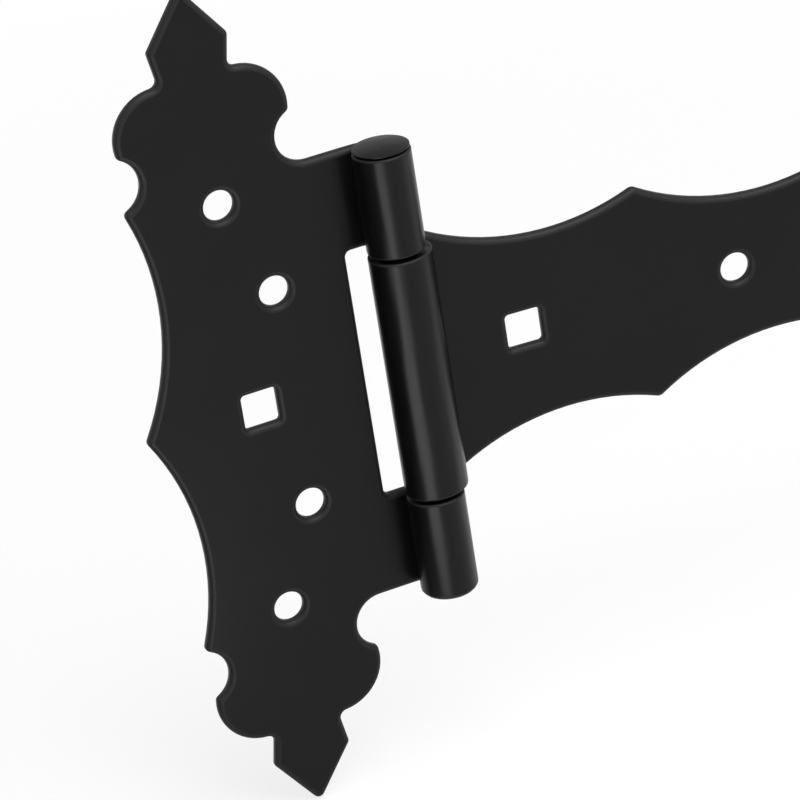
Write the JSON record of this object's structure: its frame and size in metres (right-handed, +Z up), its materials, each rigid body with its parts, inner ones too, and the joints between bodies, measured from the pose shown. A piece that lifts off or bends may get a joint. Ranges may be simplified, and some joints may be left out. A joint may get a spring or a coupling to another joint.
{
  "type": "gate hinge",
  "caption": "Ornamental gate hinge: a cross-shaped leaf for the post and a scalloped strap for the gate, both rolled round a headed pin so that the gate swings.",
  "frame": {"origin": "on the cross leaf's back face, half way between its two outer screw holes", "axes": "+X from the post leaf towards the gate, +Y backwards into the post, +Z up along the pin"},
  "size_m": [0.2454, 0.0155, 0.2104],
  "materials": {
    "cross_leaf": "satin black powder coat",
    "strap_leaf": "satin black powder coat",
    "hinge_pin": "satin black powder coat"
  },
  "bodies": {
    "leaf": {"cross_leaf": "cross_leaf", "hinge_pin": "hinge_pin"},
    "strap": {"strap_leaf": "strap_leaf"}
  },
  "joints": [
    {"name": "strap_swing", "type": "hinge", "parent": "leaf", "child": "strap", "pos_m": [0.03875, -0.0084, 0], "axis": [0, 0, -1], "range_deg": [-94, 176]}
  ]
}
